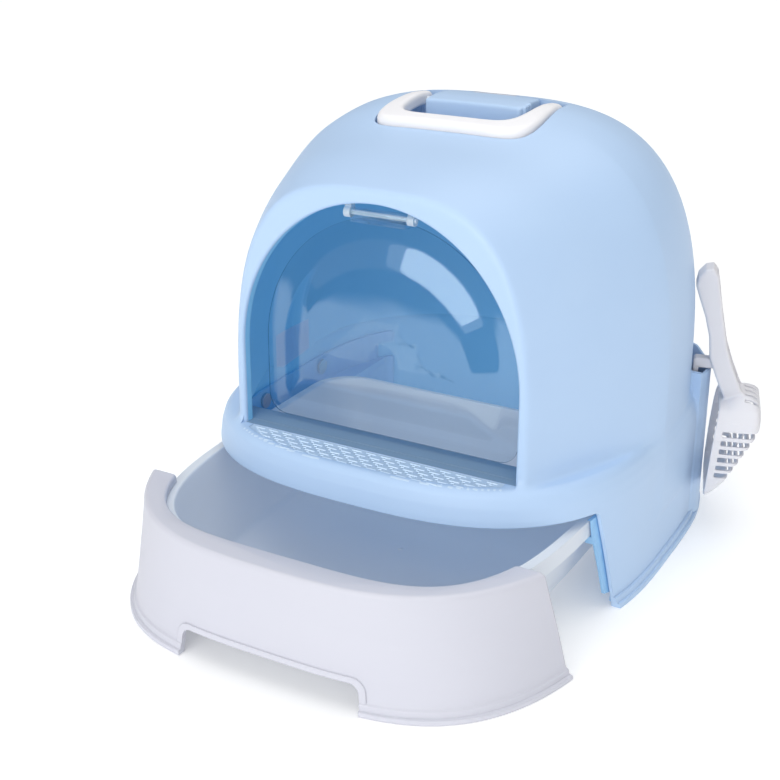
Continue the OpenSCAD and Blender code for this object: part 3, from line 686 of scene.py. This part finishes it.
# ------------------------------------------------------------------ filter lid
def f_lid(x, y, z):
    q = np.maximum(np.abs(x) - LID_W / 2, np.abs(y - (LID_Y0 + LID_Y1) / 2) - (LID_Y1 - LID_Y0) / 2)
    q = smax(np.abs(x) - LID_W / 2, np.abs(y - (LID_Y0 + LID_Y1) / 2) - (LID_Y1 - LID_Y0) / 2, 4.0)
    zt = surf(x, y) + 0.2
    d = smax(q, z - zt, 3.0)
    d = np.maximum(d, WELL_Z + 0.4 - z)
    i = np.maximum(q + 2.4, z - zt + 2.8)
    d = np.maximum(d, -i)
    for k in range(3):
        rib = np.sqrt((x - LID_W / 2 - 0.6) ** 2 + (y + 51.5 - 5.2 * k) ** 2) - 2.1
        d = smin(d, smax(smax(rib, z - zt, 1.5), 396.0 - z, 1.5), 0.8)
    return d


lid = nets("lid", f_lid, (-52, -61, 372), (54, -10, 416), 1.0)
piece(lid, "filter_cover", BLUE, angle=50, replaces=("filter_lid",))

# ------------------------------------------------------------------ flap
FW, FY, FT = ARCH_W / 2 - 9.4, -211.0, 2.4


def flap_loop(d, y, n=150):
    a, b, zb, r = FW - d, 129 - d, SILL + 4.5 + d, max(18 - d / 2, 5)
    t = np.linspace(0, math.pi, 600)
    p = [(a * math.cos(q), ARCH_Z + b * math.sin(q)) for q in t]
    t = np.linspace(math.pi, 1.5 * math.pi, 60)
    p += [(-a + r + r * math.cos(q), zb + r + r * math.sin(q)) for q in t]
    t = np.linspace(1.5 * math.pi, 2 * math.pi, 60)
    p += [(a - r + r * math.cos(q), zb + r + r * math.sin(q)) for q in t]
    p = np.array(p)
    # same number of points on each stretch for every loop
    arc, rest = resample(p[:600], 2 * n), resample(np.vstack([p[600:], p[:1]]), n + 1)[:-1]
    p = np.vstack([arc, rest])
    return np.column_stack([p[:, 0], np.full(len(p), y), p[:, 1]])


def step(t, w=0.2):
    """A straight rise from 0 to 1 with round ends of length w."""
    t = min(max(t, 0), 1)
    k = 1 / (1 - w)
    if t < w:
        return k * t * t / (2 * w)
    if t > 1 - w:
        return 1 - k * (1 - t) ** 2 / (2 * w)
    return k * (t - w / 2)


DEPTH, IN0, IN1 = 9.0, 16.0, 44.0
INSET = np.concatenate([[8.0], np.linspace(IN0, IN1, 18), [52.0, 70.0, 92.0, 110.0]])
front = [(0.6, 0.0), (0.15, -0.45), (0.0, -0.9), (0.0, -FT + 0.9), (0.15, -FT + 0.4), (0.6, -FT)]
front += [(d, -FT - DEPTH * step((d - IN0) / (IN1 - IN0))) for d in INSET]
back = [(d, -DEPTH * step((d - IN0) / (IN1 - IN0))) for d in INSET][::-1]
loops = [flap_loop(d, FY + y) for d, y in back + front]
flap = loft("flap", loops)
edge_faces = set()
for q in flap.data.polygons:
    ys = [flap.data.vertices[i].co.y * 1000 - FY for i in q.vertices]
    if q.normal.y ** 2 < 0.4 and min(ys) > -FT - 0.1:
        edge_faces.add(q.index)


def rod(name, r, x0, x1, y, z, n=32, soft=0.3):
    t = np.linspace(0, 2 * math.pi, n, endpoint=False)
    loops = [np.column_stack([np.full(n, x), y + q * np.cos(t), z + q * np.sin(t)])
             for x, q in ((x0, r - soft), (x0 + soft * 0.4, r - soft * 0.3), (x0 + soft, r), (x1 - soft, r), (x1 - soft * 0.4, r - soft * 0.3), (x1, r - soft))]
    return loft(name, loops)


hinge = [rod("r", 4.4, -26.4, 26.4, AX_Y, AX_Z)]
hinge += [rod("r", 0.9, -26, 26, AX_Y - (3.2 if i == 0 else 4.3), AX_Z + 3 - 2.4 * i, 16) for i in range(5)]
hinge.append(prism("plate", rounded([(AX_Y - 4.3, AX_Z), (AX_Y - 4.3, AX_Z - 7.4), (FY - 3, AX_Z - 9), (FY - 0.02, AX_Z - 9), (FY - 0.02, AX_Z - 5.4), (AX_Y + 3, AX_Z + 2.8)], 0.6), 0, -26, 26))
join(flap, *hinge)
piece(flap, "flap", CLEAR, angle=40, replaces=("flap_panel",))
flap.data.materials.append(CLEAR_EDGE)
for i in edge_faces:
    flap.data.polygons[i].material_index = 1

# ------------------------------------------------------------------ drawer front
DZ, FH = 0.4, 103.0


def nose(a, b, k, z, n=170):
    t = np.radians(np.linspace(-90, 90, 1500))
    p = np.stack([a * np.sign(np.sin(t)) * np.abs(np.sin(t)) ** (2 / k), YC - b * np.clip(np.cos(t), 0, 1) ** (2 / k)], 1)
    p = resample(p, n)
    return np.column_stack([p, np.full(n, z)])


def track(rows, n=170):
    return [nose(a, b, k, z, n) for a, b, k, z in rows]


fascia = loft("fascia", track([(225.2, 351.1, 3.49, DZ), (225.6, 351.5, 3.49, DZ + 0.5), (225.6, 351.5, 3.49, 4.2), (225.4, 351.3, 3.49, 4.8), (224.7, 350.6, 3.48, 5.1),
    (223.6, 349.5, 3.46, 5.3), (223.3, 349.3, 3.46, 6.2), (223.2, 349.1, 3.44, 9.8), (222.9, 348.8, 3.44, 10.6), (222.1, 347.9, 3.43, 11.2), (221.5, 347.2, 3.42, 12.4),
    (221.4, 346.8, 3.40, 16), (221.2, 345.3, 3.3, 35), (221.15, 344.4, 3.22, 50), (221.1, 343.6, 3.14, 65), (221.1, 342.4, 3.06, 82), (221.1, 341.6, 3.0, FH - 5.2),
    (221.05, 341.5, 3.0, FH - 3.6), (220.7, 341.2, 2.99, FH - 2.3), (220.0, 340.5, 2.98, FH - 1.2), (219.0, 339.5, 2.98, FH - 0.45), (217.8, 338.3, 2.98, FH - 0.08), (216.6, 337.1, 2.98, FH)]))
cut(fascia, loft("in", track([(218.4, 344, 3.42, -1), (218.2, 342.3, 3.3, 35), (218.1, 340.6, 3.14, 65), (218.1, 338.6, 3.0, FH - WALL)])))
lip = loft("lip", track([(184.6, 317.8, 4.17, 95), (184.6, 317.8, 4.17, FH - 1)]))
cut(lip, loft("in", track([(181.7, 314.8, 4.17, 90), (181.7, 314.8, 4.17, FH)])))
fuse(fascia, lip)
for x in (-118, -42, 42, 118):
    y = YC - 0.9945 * 317.2 * (1 - (abs(x) / 184.6) ** 4.17) ** (1 / 4.17)
    t = np.linspace(0, 2 * math.pi, 32, endpoint=False)
    fuse(fascia, prism("boss", np.column_stack([x + 4 * np.cos(t), y + 4 * np.sin(t)]), 2, 95, FH - 1))
    cut(fascia, prism("bore", np.column_stack([x + 1.65 * np.cos(t), y + 1.65 * np.sin(t)]), 2, 90, FH - 3))
# raised border round the hand-hold
GRIP = [(-87.5, -6), (-83.9, 19), (-81.5, 23.5), (-76.5, 26), (76.5, 26), (81.5, 23.5), (83.9, 19), (87.5, -6)]
GRIP_CUT = rounded([(-87.9, -9), (-83.6, 26), (83.6, 26), (87.9, -9)], [0, 9, 9, 0], 10)
GRIP_OUT = rounded([(-93.6, -9), (-89.0, 31.2), (89.0, 31.2), (93.6, -9)], [0, 13, 13, 0], 10)
rim = loft("rim", track([(222.6, 348.4, 3.42, 1), (222.6, 348.3, 3.42, 10), (222.0, 346.9, 3.34, 30), (222.0, 346.6, 3.33, 34)]))
cut(rim, loft("in", track([(219.6, 345.4, 3.42, -1), (219.4, 343.8, 3.3, 35)])))
within(rim, prism("frame", GRIP_OUT, 1, -460, -330))
fuse(fascia, rim)
cut(fascia, loft("over", track([(180.9, 314, 4.17, FH - 9), (181.5, 314.6, 4.17, FH - 4), (181.9, 315.0, 4.17, FH - 1.6), (182.7, 315.8, 4.17, FH - 0.5), (183.9, 317.0, 4.17, FH + 0.05), (185, 318, 4.17, FH + 1)])))
cut(fascia, prism("hold", GRIP_CUT, 1, -460, -330))
END0, END1 = -171 - 113.0, -192 - 113.0
cut(fascia, prism("ends", [(END0 + 1.5, -10), (200, -10), (200, 200), (END1 - 20, 200), (END1 - 1, FH), (END1, FH - 4)], 0, -300, 300))
piece(fascia, "drawer", WHITE, angle=32, replaces=("drawer_front",))

# ------------------------------------------------------------------ litter tray
TZ = 13.0


def pan(a, b, k, z, yb, r, n=220):
    t = np.radians(np.linspace(-90, 90, 1500))
    p = [tuple(q) for q in np.stack([a * np.sign(np.sin(t)) * np.abs(np.sin(t)) ** (2 / k), YC - b * np.clip(np.cos(t), 0, 1) ** (2 / k)], 1)]
    q = np.radians(np.linspace(0, 90, 60))
    p += [(a - r + r * math.cos(s), yb - r + r * math.sin(s)) for s in q]
    p += [(-a + r - r * math.sin(s), yb - r + r * math.cos(s)) for s in q]
    front = resample(p[:1500], n)
    rest = resample(p[1499:] + [p[0]], n // 2)[1:-1]
    p = np.vstack([front, rest])
    return np.column_stack([p, np.full(len(p), z)])


tray = loft("tray", [pan(148.6, 282.6, 4, TZ, -29.4, 33), pan(150.6, 284.6, 4, TZ + 0.5, -27.4, 34), pan(152.8, 286.8, 4, TZ + 1.7, -25.2, 35.5), pan(154, 288, 4, TZ + 4, -24, 36),
    pan(178, 311, 4.17, 78, -3, 40), pan(178.6, 311.6, 4.17, 90.4, -2.4, 40), pan(179.2, 312.2, 4.17, 91.0, -2.4, 40), pan(184.4, 319.4, 4.17, 91.06, 0, 44), pan(185, 320, 4.17, 91.6, 0, 44),
    pan(185, 320, 4.17, 93.8, 0, 44), pan(184.7, 319.7, 4.17, 94.4, -0.3, 44), pan(184.1, 319.1, 4.17, 94.6, -0.9, 43.5)])
skirt = loft("skirt", [pan(184.6, 319.6, 4.17, 78, 0, 44), pan(185, 320, 4.17, 78.5, 0, 44), pan(185, 320, 4.17, 92.4, 0, 44)])
cut(skirt, loft("in", [pan(182.2, 317.2, 4.17, 77, 0, 44), pan(182.2, 317.2, 4.17, 93, 0, 44)]))
within(skirt, block("sides", (-200, -292, 70), (200, -52, 100)))
fuse(tray, skirt)
cut(tray, loft("in", [pan(143, 277, 4, TZ + WALL, -35, 28), pan(147, 281, 4, TZ + WALL + 0.4, -31, 30), pan(149.6, 283.6, 4, TZ + WALL + 1.6, -28.4, 32), pan(151.2, 285.2, 4, TZ + WALL + 4, -26.8, 33),
    pan(175, 308, 4.17, 78.6, -6, 38), pan(175.7, 308.7, 4.17, 92.6, -5.3, 38), pan(176.2, 309.2, 4.17, 94.0, -4.9, 38), pan(177.2, 310.2, 4.17, 95, -4.2, 38)]))
t = np.linspace(0, 2 * math.pi, 24, endpoint=False)
gate = loft("gate", [np.column_stack([r * np.cos(t), -188 + r * np.sin(t), np.full(24, z)]) for r, z in ((2.4, TZ + WALL - 0.3), (2.3, TZ + WALL + 0.5), (1.7, TZ + WALL + 0.7))])
join(tray, gate)
piece(tray, "drawer", TRAY_PAINTED_GLOW, angle=32, replaces=("litter_tray",))

# ------------------------------------------------------------------ scoop
PROF = [(12, 131), (19, 132.5), (26, 136.5), (33, 139.5), (37, 139.6), (42.5, 138), (47.5, 134.2), (50.6, 129), (51, 122), (50.2, 115), (48.5, 110), (44.5, 101), (39.5, 92), (33, 79), (23, 59), (13, 45), (7, 38), (4.2, 39), (4.6, 47), (5.6, 66), (7, 87), (9, 110), (11, 125)]
PROF_X = [(-30, 131)] + PROF[1:17] + [(-30, 36)]
STEM = [(-4, 261), (1, 255), (4, 240), (8, 217), (15, 184), (22, 164), (31, 143), (40, 131), (24, 126), (17.5, 129), (10, 145), (5, 157), (-1, 173), (-3, 194), (-8, 213), (-14, 229), (-19, 243), (-17.5, 252), (-11, 259.5)]
PEG = [(6, 169), (4.5, 159.5), (-10, 159.5), (-10.5, 151), (-13, 149.5), (-15.5, 151), (-15.5, 168), (-13.5, 170)]
PROF_IN = [(-20, 128), (12, 128.2), (19.5, 129.8), (26.6, 133.7), (33.4, 136.8), (37, 136.9), (41.6, 135.6), (45.6, 132.4), (48, 128), (48.4, 122), (47.4, 115), (46, 110.6), (42, 101.8), (37, 92.8), (30.6, 80.2), (21, 60.7), (11.2, 47), (6, 40.5), (-20, 36)]
BW = 49.0
OUTL = [(-BW + 15, 34), (-BW + 5, 50), (-BW, 78), (-BW, 104), (-BW + 4, 120), (-BW + 14, 131), (-18, 141), (18, 141), (BW - 14, 131), (BW - 4, 120), (BW, 104), (BW, 78), (BW - 5, 50), (BW - 15, 34)]
OUTL_IN = [(-BW + 17, 34), (-BW + 7.5, 51), (-BW + 2.5, 78.5), (-BW + 2.5, 103.5), (-BW + 6.3, 118.6), (-BW + 15.5, 128.6), (-18.6, 138.2), (18.6, 138.2), (BW - 15.5, 128.6), (BW - 6.3, 118.6), (BW - 2.5, 103.5), (BW - 2.5, 78.5), (BW - 7.5, 51), (BW - 17, 34)]
CHAN = [(-13, 254), (-16, 249.5), (-16.3, 244.5), (-11.4, 230), (-5.4, 214), (-0.5, 194.5), (1.5, 174), (7.4, 158.5), (12.3, 146.8), (18, 138.5), (44, 138.5), (60, 200), (30, 262), (-2, 256)]


def f_scoop(n, u, z):
    bowl = smax(smax(inside(PROF_X, n, z), inside(OUTL, u, z), 8.0), inside(PROF, n, z), 0.8)
    hollow = smax(inside(PROF_IN, n, z), inside(OUTL_IN, u, z), 7.0)
    bowl = smax(bowl, -hollow, 0.8)
    st = smax(inside(STEM, n, z), np.abs(u) - 13.5, 3.0)
    st = smax(st, -smax(inside(CHAN, n, z), np.abs(u) - 11.0, 2.0), 1.2)
    d = smin(bowl, st, 3.0)
    d = smin(d, smax(inside(PEG, n, z), np.abs(u) - 5.5, 1.5), 1.5)
    for i in range(6):
        z0 = 64 + 8.6 * i
        s = smax(smax(np.abs(z - z0 - 2.6) - 2.6, 12 + 0.85 * i - n, 1.5), 3 - np.abs(u), 1.0)
        d = smax(d, -s, 0.6)
    for i in range(-2, 3):
        s = np.maximum(np.maximum(np.abs(u - 11.5 * i) - 2.2, 121.0 - z), 35.5 - n)
        d = smax(d, -s, 0.6)
    return d


scoop = nets("scoop", f_scoop, (-23, -53, 32), (52, 53, 266), 1.0, steps=2)
scoop.data.transform(Matrix.Translation((0.210, 0.0459, 0)) @ Matrix.Rotation(math.radians(17), 4, "Z"))
piece(scoop, "scoop", SCOOP, angle=50, replaces=("scoop",))

# ------------------------------------------------------------------ CAD nodes that stay
for names, mat in ((("drawer_guide_left", "drawer_guide_right"), GUIDE_PAINTED_GLOW), (("guide_screws", "fascia_screws"), STEEL), (("hinge_clip_left", "hinge_clip_right"), CLIP),
                   (("flap_pin", "handle_pins"), PIN), (("filter_latch", "filter_cup"), WHITE), (("filter_pad",), FELT)):
    for n in names:
        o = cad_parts[n]
        if not o.material_slots:
            o.data.materials.append(mat)
        for s in o.material_slots:
            s.material = mat

# ------------------------------------------------------------------ floor and light
fm = bpy.data.materials.new("floor")
fm.use_nodes = True
ft = fm.node_tree
fp = ft.nodes["Principled BSDF"]
fp.inputs["Base Color"].default_value = (0.93, 0.93, 0.93, 1)
fp.inputs["Roughness"].default_value = 0.7
fp.inputs["Emission Color"].default_value = (1, 1, 1, 1)
fp.inputs["Emission Strength"].default_value = 0.19
# painted reflection: for glossy rays only, the floor beyond y -0.86 m in front turns dark blue-grey, so the flap
# reflects a dark surround
painted_dark_reflection = ft.nodes.new("ShaderNodeEmission"); painted_dark_reflection.inputs["Color"].default_value = (0.05, 0.09, 0.13, 1); painted_dark_reflection.inputs["Strength"].default_value = 1.0
ray = ft.nodes.new("ShaderNodeLightPath")
place = ft.nodes.new("ShaderNodeNewGeometry")
xyz = ft.nodes.new("ShaderNodeSeparateXYZ")
far = ft.nodes.new("ShaderNodeMapRange"); far.interpolation_type = "SMOOTHSTEP"
far.inputs["From Min"].default_value = -0.86; far.inputs["From Max"].default_value = -0.93
share = ft.nodes.new("ShaderNodeMath"); share.operation = "MULTIPLY"
fmix = ft.nodes.new("ShaderNodeMixShader")
ft.links.new(place.outputs["Position"], xyz.inputs[0]); ft.links.new(xyz.outputs["Y"], far.inputs["Value"])
ft.links.new(far.outputs["Result"], share.inputs[0]); ft.links.new(ray.outputs["Is Glossy Ray"], share.inputs[1])
ft.links.new(share.outputs[0], fmix.inputs["Fac"]); ft.links.new(fp.outputs[0], fmix.inputs[1]); ft.links.new(painted_dark_reflection.outputs[0], fmix.inputs[2])
ft.links.new(fmix.outputs[0], ft.nodes["Material Output"].inputs["Surface"])
floor = mesh_object("floor", [(-60000, -60000, 0), (60000, -60000, 0), (60000, 60000, 0), (-60000, 60000, 0)], [(0, 1, 2, 3)])
floor.data.materials.append(fm)

world = bpy.data.worlds.new("world")
scene.world = world
world.use_nodes = True
wt = world.node_tree
bg = wt.nodes["Background"]
bg.inputs["Color"].default_value = (0.97, 0.985, 1.0, 1)
bg.inputs["Strength"].default_value = 0.28
seen = wt.nodes.new("ShaderNodeBackground")
seen.inputs["Color"].default_value = (1, 1, 1, 1)
path = wt.nodes.new("ShaderNodeLightPath")
pick = wt.nodes.new("ShaderNodeMixShader")
wt.links.new(path.outputs["Is Camera Ray"], pick.inputs["Fac"])
wt.links.new(bg.outputs[0], pick.inputs[1]); wt.links.new(seen.outputs[0], pick.inputs[2])
wt.links.new(pick.outputs[0], wt.nodes["World Output"].inputs["Surface"])


def aim(o, pos, target):
    scene.collection.objects.link(o)
    o.location = pos
    o.rotation_euler = (Vector(target) - Vector(pos)).to_track_quat("-Z", "Y").to_euler()
    return o


def softbox(name, pos, target, size, power, colour=(1, 1, 1)):
    l = bpy.data.lights.new(name, "AREA")
    l.shape, l.size, l.size_y, l.energy, l.color = "RECTANGLE", size[0], size[1], power, colour
    return aim(bpy.data.objects.new(name, l), pos, target)


def wide(name, pos, power, spread, colour=(1, 1, 1)):
    l = bpy.data.lights.new(name, "SUN")
    l.energy, l.angle, l.color = power, math.radians(spread), colour
    return aim(bpy.data.objects.new(name, l), pos, (0, -0.1, 0.2))


wide("top", (0.0, 0.2, 3.0), 1.55, 70)
wide("front", (0.1, -2.0, 1.2), 0.54, 60)
wide("camera_side", (1.2, -1.8, 1.4), 0.42, 50)
wide("back", (0.0, 2.0, 1.8), 0.16, 60)
softbox("panel", (-0.04, -2.15, 0.81), (0.06, -0.22, 0.29), (1.3, 0.92), 10.5)
